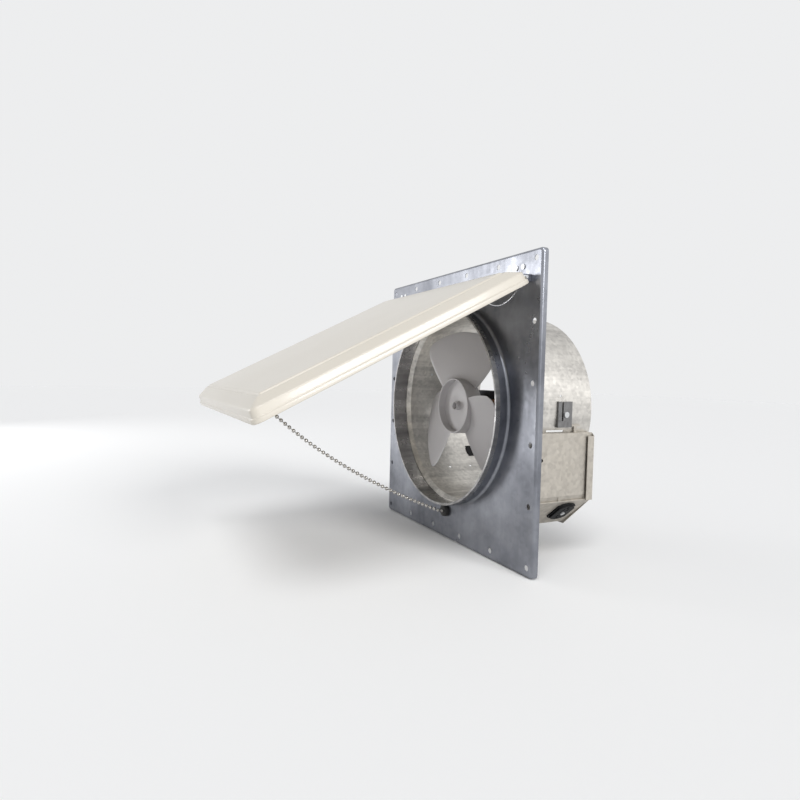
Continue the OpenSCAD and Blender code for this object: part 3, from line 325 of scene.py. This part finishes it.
# bare metals: rough and bump are each a base value and its spread or depth
streakRun = {
    "upright": (44.0, 44.0, 6.0), "around": (9.0, 60.0, 9.0), "across": (70.0, 5.0, 70.0), "fine": (90.0, 90.0, 90.0),
    "wound": (20.0, 20.0, 900.0),
}
bareMetals = {
    # plate zinc is darker than bare zinc as a painted dark reflection, and its strong clouds and upright streaks are
    # painted sheen; the hinge brackets and chain guide share it
    "plateZincPaintedReflection": {
        "color": (0.40, 0.413, 0.455), "shade": (0.095, 0.10, 0.117), "crystals": (210.0, 0.10),
        "streaksAndSheen": ("upright", 0.20), "cloudsAndSheen": 0.62, "rough": (0.24, 0.12), "bump": (0.05, 0.0005)},
    # sleeve zinc has a darker Shade than the drum's zinc as painted shade, and its strong streaks and clouds are
    # painted sheen
    "sleeveZincPaintedShade": {
        "color": (0.68, 0.67, 0.66), "shade": (0.15, 0.148, 0.15), "crystals": (190.0, 0.12),
        "streaksAndSheen": ("across", 0.55), "cloudsAndSheen": 0.45, "rough": (0.20, 0.12), "bump": (0.10, 0.0005)},
    "drumZinc": {
        "color": (0.84, 0.81, 0.755), "shade": (0.29, 0.28, 0.268), "crystals": (260.0, 0.25),
        "streaksAndSheen": ("across", 0.55), "cloudsAndSheen": 0.25, "rough": (0.32, 0.16), "bump": (0.10, 0.0005)},
    "boxZinc": {
        "color": (0.54, 0.505, 0.45), "shade": (0.37, 0.345, 0.31), "crystals": (230.0, 0.55),
        "streaksAndSheen": ("fine", 0.20), "cloudsAndSheen": 0.25, "rough": (0.42, 0.16), "bump": (0.10, 0.0005)},
    "screwZinc": {
        "color": (0.70, 0.71, 0.72), "shade": (0.50, 0.50, 0.50), "crystals": (500.0, 0.3),
        "streaksAndSheen": ("fine", 0.2), "cloudsAndSheen": 0.1, "rough": (0.26, 0.10), "bump": (0.08, 0.0002)},
    "clipZinc": {
        "color": (0.25, 0.25, 0.25), "shade": (0.12, 0.116, 0.116), "crystals": (300.0, 0.3),
        "streaksAndSheen": ("fine", 0.4), "cloudsAndSheen": 0.2, "rough": (0.40, 0.12), "bump": (0.10, 0.0003)},
    "laminations": {
        "color": (0.09, 0.09, 0.10), "shade": (0.05, 0.05, 0.05), "crystals": (400.0, 0.4),
        "streaksAndSheen": ("around", 0.5), "cloudsAndSheen": 0.1, "rough": (0.45, 0.15), "bump": (0.15, 0.0003)},
    "wireSteel": {
        "color": (0.72, 0.73, 0.75), "shade": (0.52, 0.53, 0.55), "crystals": (600.0, 0.2),
        "streaksAndSheen": ("fine", 0.3), "cloudsAndSheen": 0.1, "rough": (0.20, 0.08), "bump": (0.05, 0.0001)},
    "beadNickel": {
        "color": (0.60, 0.58, 0.55), "shade": (0.20, 0.19, 0.18), "crystals": (700.0, 0.3),
        "streaksAndSheen": ("fine", 0.3), "cloudsAndSheen": 0.1, "rough": (0.20, 0.10), "bump": (0.05, 0.0001)},
    "bushBronze": {
        "color": (0.55, 0.40, 0.22), "shade": (0.38, 0.27, 0.15), "crystals": (700.0, 0.4),
        "streaksAndSheen": ("fine", 0.3), "cloudsAndSheen": 0.1, "rough": (0.35, 0.12), "bump": (0.1, 0.0002)},
    "windingCopper": {
        "color": (0.50, 0.25, 0.12), "shade": (0.30, 0.14, 0.07), "crystals": (500.0, 0.3),
        "streaksAndSheen": ("wound", 0.7), "cloudsAndSheen": 0.1, "rough": (0.35, 0.12), "bump": (0.2, 0.0004)},
}

# paint, plastic, rubber and foam
smoothFinishes = {
    "doorEnamel": {
        "color": (0.68, 0.635, 0.555), "tint": (0.60, 0.56, 0.485), "patches": (7.0, 0.6), "grain": 500.0,
        "rough": (0.30, 0.10), "bump": (0.05, 0.0006), "plain": {"Coat Weight": 0.3, "Coat Roughness": 0.10}},
    "blackPaint": {
        "color": (0.035, 0.035, 0.038), "tint": (0.06, 0.06, 0.06), "patches": (40.0, 0.5), "grain": 900.0,
        "rough": (0.38, 0.12), "bump": (0.08, 0.0003), "plain": {}},
    "blackPlastic": {
        "color": (0.012, 0.012, 0.013), "tint": (0.02, 0.02, 0.02), "patches": (60.0, 0.4), "grain": 1100.0,
        "rough": (0.5, 0.14), "bump": (0.10, 0.0002), "plain": {"Specular IOR Level": 0.15}},
    "rubber": {
        "color": (0.022, 0.022, 0.022), "tint": (0.045, 0.043, 0.04), "patches": (90.0, 0.6), "grain": 1200.0,
        "rough": (0.55, 0.15), "bump": (0.15, 0.0003), "plain": {}},
    "foam": {
        "color": (0.10, 0.10, 0.11), "tint": (0.16, 0.16, 0.16), "patches": (200.0, 0.7), "grain": 1500.0,
        "rough": (0.85, 0.1), "bump": (0.5, 0.0005), "plain": {}},
    # the milky plastic is darker than its own colour: painted shade of the housing around the wheel
    "milkyPlasticPaintedShade": {
        "color": (0.52, 0.503, 0.507), "tint": (0.42, 0.406, 0.413), "patches": (14.0, 0.7), "grain": 600.0,
        "rough": (0.34, 0.12), "bump": (0.05, 0.0004), "plain": {"Coat Weight": 0.1, "Coat Roughness": 0.3}},
}


def buildFinishes():
    made = {}
    spangle = buildSpangle()
    for name, f in bareMetals.items():
        values = {
            "Color": (*f["color"], 1), "Shade": (*f["shade"], 1),
            "Crystal Scale": f["crystals"][0], "Crystal": f["crystals"][1],
            "Streak Scale": streakRun[f["streaksAndSheen"][0]], "Streak And Sheen": f["streaksAndSheen"][1], "Cloud And Sheen": f["cloudsAndSheen"],
            "Roughness": f["rough"][0], "Spread": f["rough"][1]}
        made[name] = finishFrom(name, spangle, values, {"Metallic": 1.0}, f["bump"])
    mottle = buildMottle()
    for name, f in smoothFinishes.items():
        values = {
            "Color": (*f["color"], 1), "Tint": (*f["tint"], 1),
            "Scale": f["patches"][0], "Amount": f["patches"][1], "Grain": f["grain"],
            "Roughness": f["rough"][0], "Spread": f["rough"][1]}
        made[name] = finishFrom(name, mottle, values, f["plain"], f["bump"])
    return made


finishOfNode = {
    "wall_plate": "plateZincPaintedReflection", "outer_sleeve": "sleeveZincPaintedShade", "inner_drum": "drumZinc", "sleeve_screws": "screwZinc",
    "wiring_box": "boxZinc", "box_cover": "boxZinc", "box_screws": "screwZinc", "box_rivets": "screwZinc",
    "receptacle": "blackPlastic", "receptacle_screw": "screwZinc", "switch_body": "blackPlastic",
    "switch_pin": "screwZinc", "switch_lever": "screwZinc", "motor_bar": "blackPaint", "strap_clips": "clipZinc",
    "strap_screws": "screwZinc", "motor_stack": "laminations", "motor_coil": "windingCopper",
    "front_bearing_bracket": "clipZinc", "rear_bearing_bracket": "clipZinc", "bearing_bushes": "bushBronze",
    "isolators": "rubber", "motor_screws": "screwZinc", "motor_nuts": "screwZinc", "rotor": "laminations",
    "shaft": "screwZinc", "fan_wheel": "milkyPlasticPaintedShade", "hub_clip": "wireSteel", "door_panel": "doorEnamel",
    "door_gasket": "foam", "chain_bracket": "screwZinc", "spring_tabs": "screwZinc",
    "hinge_bracket_left": "plateZincPaintedReflection", "hinge_bracket_right": "plateZincPaintedReflection", "hinge_pins": "screwZinc",
    "hinge_rivets": "screwZinc", "door_spring_left": "wireSteel", "door_spring_right": "wireSteel",
    "outer_chain": "beadNickel", "inner_chain": "beadNickel", "chain_grommet": "rubber",
    "chain_guide": "plateZincPaintedReflection", "guide_rivet": "screwZinc", "pull_bell": "beadNickel", "entry_plug": "blackPlastic",
}


def dressNodes(finishes):
    for name, node in nodes.items():
        finish = finishes[finishOfNode[name]]
        if not node.material_slots:
            node.data.materials.append(finish)
        for place in node.material_slots:
            place.material = finish


addCamera()
finishes = buildFinishes()
buildSurroundings()
buildLights()
buildFloor()
dressNodes(finishes)
print("studio and finishes ready")

sharpFrom = 38  # degrees between two faces at which an edge is sharp


def addPiece(name, mesh, body, finish, ride=True):
    piece = bpy.data.objects.new(name, mesh)
    bpy.context.scene.collection.objects.link(piece)
    mesh.materials.append(finishes[finish])
    mesh.shade_smooth()
    mesh.set_sharp_from_angle(angle=math.radians(sharpFrom))
    if ride:
        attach(piece, body)
    return piece


def loftMesh(name, rings, closed=False):
    # quads between rings of equally many points, with flat ends or joined into a loop
    count = len(rings[0])
    total = len(rings)
    points = [tuple(p) for ring in rings for p in ring]
    faces = []
    for i in range(total if closed else total - 1):
        a, b = i * count, ((i + 1) % total) * count
        for k in range(count):
            n = (k + 1) % count
            faces.append((a + k, a + n, b + n, b + k))
    if not closed:
        faces.append(tuple(range(count))[::-1])
        faces.append(tuple(range((total - 1) * count, total * count)))
    mesh = bpy.data.meshes.new(name)
    mesh.from_pydata(points, [], faces)
    mesh.update()
    return mesh


def outwards(mesh):
    work = bmesh.new()
    work.from_mesh(mesh)
    bmesh.ops.recalc_face_normals(work, faces=work.faces)
    work.to_mesh(mesh)
    work.free()
    return mesh


# door, drawn shut about its hinge and turned open; its sections are insets from the edge and heights
door = {
    "width": 330.0, "height": 329.0, "hingeY": -8.4, "hingeZ": 147.0, "open": 62.8,
    "lipPlane": 7.0, "topEdge": 3.5, "panelOut": 21.2, "panelIn": 20.4, "crown": 0.7,
    "crownAt": [(40.0, 0.12), (70.0, 0.4), (110.0, 0.75), (150.0, 1.0)],
    "corner": 10.0, "skirtInset": 3.6, "panelCorner": 6.4, "cornerFall": 0.34, "leastCorner": 1.6,
    "cornerSteps": 7, "sideSteps": 6,
    "notchX": (157.5, 161.3), "notchY": (-5.0, 8.0), "notchZ": (-4.6, 4.5),
    "outside": [(0.5, 0.0), (0.0, 0.5), (0.0, 4.1), (0.3, 4.75), (1.1, 5.1), (1.6, 5.7), (1.8, 6.6), (2.65, 11.7),
                (2.95, 12.6), (3.6, 13.3), (4.6, 13.85), (6.0, 14.5), (14.4, 18.85), (15.7, 19.45), (16.5, 19.6),
                (17.2, 19.35), (17.8, 19.0), (18.3, 19.0), (18.8, 19.35), (19.5, 20.2), (20.1, 20.85),
                (20.9, 21.15), (22.0, 21.2), (26.0, 21.2)],
    "inside": [(26.0, 20.4), (22.2, 20.4), (21.2, 20.3), (20.5, 19.9), (19.9, 19.2), (19.0, 18.4), (18.0, 18.1),
               (17.2, 18.5), (16.4, 18.75), (15.4, 18.5), (6.4, 13.8), (4.8, 12.9), (3.9, 12.2), (3.6, 11.4),
               (2.75, 6.4), (2.6, 5.0), (2.6, 0.5), (2.1, 0.0)],
}


def shutToOpen(x, y, z):
    a = math.radians(door["open"])
    return Vector((x, door["hingeY"] + y * math.cos(a) + z * math.sin(a),
                   door["hingeZ"] - y * math.sin(a) + z * math.cos(a))) * mm


def roundedOutline(width, height, radius):
    points = []
    corners = [(1, 1, 0), (-1, 1, 90), (-1, -1, 180), (1, -1, 270)]
    for place, (sx, sz, start) in enumerate(corners):
        cx, cz = sx * (width / 2 - radius), sz * (height / 2 - radius)
        for i in range(door["cornerSteps"] + 1):
            a = math.radians(start + 90 * i / door["cornerSteps"])
            points.append((cx + radius * math.cos(a), cz + radius * math.sin(a)))
        nextX, nextZ, nextStart = corners[(place + 1) % 4]
        a = math.radians(nextStart)
        last = points[-1]
        end = (nextX * (width / 2 - radius) + radius * math.cos(a),
               nextZ * (height / 2 - radius) + radius * math.sin(a))
        for i in range(1, door["sideSteps"]):
            t = i / door["sideSteps"]
            points.append((last[0] + (end[0] - last[0]) * t, last[1] + (end[1] - last[1]) * t))
    return points


def cornerRadius(inset):
    if inset < door["skirtInset"]:
        return door["corner"] - inset
    return max(door["panelCorner"] - (inset - door["skirtInset"]) * door["cornerFall"], door["leastCorner"])


def doorRing(inset, height):
    middle = door["topEdge"] - door["height"] / 2
    outline = roundedOutline(door["width"] - 2 * inset, door["height"] - 2 * inset, cornerRadius(inset))
    return [shutToOpen(x, door["lipPlane"] - height, middle + z) for x, z in outline]


def blockMesh(name, low, high):
    # block between two corners, in the place that the shut door has
    work = bmesh.new()
    spots = [(x, y, z) for x in (low[0], high[0]) for y in (low[1], high[1]) for z in (low[2], high[2])]
    corner = [work.verts.new(shutToOpen(*spot)) for spot in spots]
    for loop in ((0, 1, 3, 2), (4, 6, 7, 5), (0, 4, 5, 1), (2, 3, 7, 6), (0, 2, 6, 4), (1, 5, 7, 3)):
        work.faces.new([corner[i] for i in loop])
    bmesh.ops.recalc_face_normals(work, faces=work.faces)
    mesh = bpy.data.meshes.new(name)
    work.to_mesh(mesh)
    work.free()
    return mesh


def cutNotches(mesh):
    # slots in the upper corners of the skirt, where the hinge ears reach in
    made = bpy.data.objects.new("doorUncut", mesh)
    bpy.context.scene.collection.objects.link(made)
    cutters = []
    for s in (-1, 1):
        x = sorted(s * v for v in door["notchX"])
        low, high = ((x[i], door["notchY"][i], door["notchZ"][i]) for i in (0, 1))
        cutter = bpy.data.objects.new("notchCutter", blockMesh("notchCutter", low, high))
        bpy.context.scene.collection.objects.link(cutter)
        cut = made.modifiers.new("notch", "BOOLEAN")
        cut.operation = "DIFFERENCE"
        cut.solver = "EXACT"
        cut.object = cutter
        cutters.append(cutter)
    bpy.context.view_layer.update()
    cutDoor = made.evaluated_get(bpy.context.evaluated_depsgraph_get())
    result = bpy.data.meshes.new_from_object(cutDoor)
    result.name = "doorPan"
    for thing in cutters + [made]:
        bpy.data.objects.remove(thing)
    return result


def buildDoor():
    # one closed shell: outside from lip to panel, then inside from panel to lip
    outer = [doorRing(e, h) for e, h in door["outside"]]
    outer += [doorRing(e, door["panelOut"] + door["crown"] * k) for e, k in door["crownAt"]]
    inner = [doorRing(e, door["panelIn"] + door["crown"] * k) for e, k in reversed(door["crownAt"])]
    inner += [doorRing(e, h) for e, h in door["inside"]]
    rings = outer + inner
    count = len(rings[0])
    points = [tuple(p) for ring in rings for p in ring]
    faces = []
    for i in range(len(rings)):
        if i == len(outer) - 1:
            continue  # here the two panel faces close the rings instead
        a, b = i * count, ((i + 1) % len(rings)) * count
        faces += [(a + k, a + (k + 1) % count, b + (k + 1) % count, b + k) for k in range(count)]
    faces.append(tuple(range((len(outer) - 1) * count, len(outer) * count)))
    faces.append(tuple(range(len(outer) * count, (len(outer) + 1) * count)))
    mesh = bpy.data.meshes.new("doorPan")
    mesh.from_pydata(points, [], faces)
    outwards(mesh)
    pan = addPiece("doorPan", cutNotches(mesh), "door", "doorEnamel")
    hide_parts("door_panel")


# blade wheel: half angles in degrees, depths of the blade's edges at root and tip, section of the hub
wheel = {
    "blades": 3, "tip": 99.1, "tipHalf": 39.0, "rootHalf": 50.0, "root": 35.5,
    "rear": (23.0, 38.0), "front": (7.4, -0.3), "round": 14.0, "thick": 2.0, "first": 89.5,
    "around": 30, "along": 22, "sideCrowd": 0.35, "tipCrowd": 1.3,
    "edgeBand": 0.04, "tipBand": 1.5, "edgeThin": 0.12, "hubSteps": 96,
    "hub": [(4.6, 13.5), (4.6, 9.1), (4.8, 8.65), (5.2, 8.5), (5.6, 8.65), (5.8, 9.1), (5.8, 14.4), (6.1, 15.1),
            (6.9, 15.5), (33.2, 15.5), (34.1, 15.2), (34.5, 14.3), (34.5, 6.0), (34.7, 5.4), (35.2, 5.05),
            (35.8, 5.0), (36.4, 5.1), (36.85, 5.5), (37.0, 6.1), (37.0, 26.5), (36.7, 27.0), (34.8, 27.0),
            (34.5, 26.5), (34.5, 18.9), (33.6, 18.0), (8.4, 18.0), (7.5, 18.9), (7.5, 41.7), (7.2, 42.0),
            (3.3, 42.0), (3.05, 41.7), (3.05, 13.5)],
}


def latheMesh(name, profile, steps):
    # profile of radius and depth turned about an axis along Y
    turns = [2 * math.pi * k / steps for k in range(steps)]
    rings = [[Vector((r * math.cos(a), y, r * math.sin(a))) * mm for a in turns] for r, y in profile]
    return outwards(loftMesh(name, rings, closed=True))


def bladePoint(t, k, side):
    # t runs from edge to edge, -1 to 1, and k from root to rounded tip, 0 to 1
    w = wheel
    u = min(w["round"], (1 - abs(t)) * math.radians(w["tipHalf"]) * w["tip"])
    end = w["tip"] - w["round"] + math.sqrt(max(0.0, w["round"] ** 2 - (w["round"] - u) ** 2))
    r = w["root"] + (end - w["root"]) * k
    share = (r - w["root"]) / (w["tip"] - w["root"])
    half = w["rootHalf"] + (w["tipHalf"] - w["rootHalf"]) * share
    rear = w["rear"][0] + (w["rear"][1] - w["rear"][0]) * share
    front = w["front"][0] + (w["front"][1] - w["front"][0]) * share
    depth = rear + (front - rear) * (t + 1) / 2
    edge = min(1.0, min(1 - abs(t), (1 - k) * w["tipBand"]) / w["edgeBand"])
    thick = w["thick"] / 2 * math.sqrt(max(w["edgeThin"], 1 - (1 - edge) ** 2))
    a = math.radians(w["first"] + t * half)
    return r * math.cos(a), depth + side * thick, r * math.sin(a)


def addBlade(work, turn):
    w = wheel
    grid = {}
    for side in (-1, 1):
        for i in range(w["around"] + 1):
            x = i / w["around"]
            t = (2 * x - 1) * (1 - w["sideCrowd"]) - math.cos(math.pi * x) * w["sideCrowd"]
            for j in range(w["along"] + 1):
                k = 1 - (1 - j / w["along"]) ** w["tipCrowd"]
                x0, depth, z0 = bladePoint(t, k, side)
                x1 = x0 * math.cos(turn) - z0 * math.sin(turn)
                z1 = x0 * math.sin(turn) + z0 * math.cos(turn)
                grid[side, i, j] = work.verts.new(Vector((x1, depth, z1)) * mm)
    for side in (-1, 1):
        for i in range(w["around"]):
            for j in range(w["along"]):
                loop = [grid[side, i, j], grid[side, i + 1, j], grid[side, i + 1, j + 1], grid[side, i, j + 1]]
                work.faces.new(loop if side < 0 else loop[::-1])
    border = [(i, 0) for i in range(w["around"])] + [(w["around"], j) for j in range(w["along"])]
    border += [(i, w["along"]) for i in range(w["around"], 0, -1)] + [(0, j) for j in range(w["along"], 0, -1)]
    for n, (i, j) in enumerate(border):
        i2, j2 = border[(n + 1) % len(border)]
        work.faces.new([grid[-1, i, j], grid[1, i, j], grid[1, i2, j2], grid[-1, i2, j2]])


def buildWheel():
    mesh = latheMesh("hub", wheel["hub"], wheel["hubSteps"])
    work = bmesh.new()
    work.from_mesh(mesh)
    for n in range(wheel["blades"]):
        addBlade(work, math.radians(360 / wheel["blades"] * n))
    bmesh.ops.recalc_face_normals(work, faces=work.faces)
    work.to_mesh(mesh)
    work.free()
    piece = addPiece("bladeWheel", mesh, "fan", "milkyPlasticPaintedShade")
    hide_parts("fan_wheel")


# bead chain, with its curve under the open door and its straight run through the wall
chain = {
    "bead": 2.4, "pitch": 6.47, "link": 0.55, "height": -141.0, "mouth": -6.0, "count": 22,
    "start": (-12.37, -140.0), "dip": (-185.0, -71.0), "end": (-268.94, 23.89), "outerCount": 47,
    "beadSides": (18, 11), "linkSides": 8, "flatFrom": 0.93, "flatten": 0.9, "twist": 1.3, "linkInside": 1.2,
}


def beadMesh(name, points, thinner=(1.0, 1.0)):
    # beads with flattened ends, joined by short wires
    radius, link = chain["bead"] * mm * thinner[0], chain["link"] * mm * thinner[1]
    work = bmesh.new()
    for i, p in enumerate(points):
        ahead = (points[min(i + 1, len(points) - 1)] - points[max(i - 1, 0)]).normalized()
        turn = ahead.to_track_quat("Z", "Y").to_matrix().to_4x4()
        turn = Matrix.Translation(p) @ turn @ Matrix.Rotation(i * chain["twist"], 4, "Z")
        around, along = chain["beadSides"]
        ball = bmesh.ops.create_uvsphere(work, u_segments=around, v_segments=along, radius=radius)["verts"]
        for v in ball:
            if abs(v.co.z) > radius * chain["flatFrom"]:
                v.co.z *= chain["flatten"]
        bmesh.ops.transform(work, matrix=turn, verts=ball)
    for a, b in zip(points, points[1:]):
        span = (b - a).length - radius * chain["linkInside"]
        rod = bmesh.ops.create_cone(
            work, segments=chain["linkSides"], radius1=link, radius2=link, depth=span, cap_ends=True)["verts"]
        turn = (b - a).to_track_quat("Z", "Y").to_matrix().to_4x4()
        bmesh.ops.transform(work, matrix=Matrix.Translation((a + b) / 2) @ turn, verts=rod)
    mesh = bpy.data.meshes.new(name)
    work.to_mesh(mesh)
    work.free()
    return mesh


def chainPoint(u):
    # the same distance between beads all along the curve
    s, d, e = (Vector((0, *chain[k])) for k in ("start", "dip", "end"))
    first, last = (d - s).length, (e - d).length
    t = u + (last - first) / (last + first) * u * (1 - u)
    return ((1 - t) ** 2 * s + 2 * t * (1 - t) * d + t * t * e) * mm


def addBeads(name, points, body, thinner=(1.0, 1.0), ride=True):
    return addPiece(name, beadMesh(name, points, thinner), body, "beadNickel", ride=ride)


def buildChain():
    # copies that lie in one another are each a little thinner
    count = chain["outerCount"]
    mouth = Vector((0, chain["mouth"], chain["height"])) * mm
    slack = addBeads("outerChain", [mouth] + [chainPoint(i / count) for i in range(count)], "housing")
    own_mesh(slack)
    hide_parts("outer_chain")
    addBeads("heldBeads", [chainPoint(i / count) for i in (count - 1, count)], "door", (0.99, 0.99))
    # shut, the chain in the room is three runs long: one stays, one is not attached to any body, one moves with the
    # bell
    run = [Vector((0, chain["mouth"] + chain["pitch"] * i, chain["height"])) * mm for i in range(chain["count"] + 1)]
    stay = addBeads("wallChain", run[1:], "housing")
    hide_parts("inner_chain")
    middle = addBeads("middleChain", run, "housing", (0.985, 0.98), ride=False)
    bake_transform(middle)
    addBeads("roomChain", run, "pull", (0.97, 0.96))


# door springs, round wire bent in a bow, as depths and heights
bow = {
    "x": 140.0, "radius": 0.7, "sides": 10, "steps": 26,
    "hook": [(2.4, 136.6), (2.36, 137.8), (2.25, 138.8), (1.9, 139.6), (1.1, 139.95)],
    "curve": [(0.0, 140.0), (-13.6, 120.6), (-32.0, 105.5), (-52.73, 127.37)],
    "end": [(-54.3, 129.1), (-55.71, 130.55)],
}


def bowRoute(x):
    p = [Vector(q) for q in bow["curve"]]
    route = [Vector(q) for q in bow["hook"]]
    for i in range(bow["steps"] + 1):
        t = i / bow["steps"]
        shares = ((1 - t) ** 3, 3 * (1 - t) ** 2 * t, 3 * (1 - t) * t * t, t ** 3)
        route.append(sum((q * share for q, share in zip(p, shares)), Vector((0, 0))))
    route += [Vector(q) for q in bow["end"]]
    return [Vector((x, q.x, q.y)) * mm for q in route]


def wireMesh(name, route):
    radius, sides = bow["radius"] * mm, bow["sides"]
    turns = [2 * math.pi * k / sides for k in range(sides)]
    rings = []
    for i, p in enumerate(route):
        ahead = (route[min(i + 1, len(route) - 1)] - route[max(i - 1, 0)]).normalized()
        side = Vector((1, 0, 0)) if abs(ahead.x) < 0.9 else Vector((0, 0, 1))
        up = ahead.cross(side).normalized()
        side = up.cross(ahead)
        rings.append([p + radius * (math.cos(a) * side + math.sin(a) * up) for a in turns])
    return outwards(loftMesh(name, rings))


def buildSprings():
    for name, node, s in (("bowWireLeft", "door_spring_left", -1), ("bowWireRight", "door_spring_right", 1)):
        mesh = wireMesh(node + "Wire", bowRoute(s * bow["x"]))
        wire = addPiece(name, mesh, "housing", "wireSteel", ride=False)
        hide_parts(node)
        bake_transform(wire)


buildDoor()
print("door built")
buildWheel()
print("wheel built")
buildChain()
buildSprings()
print("chain and springs built")

bpy.context.scene.view_settings.view_transform = "Standard"
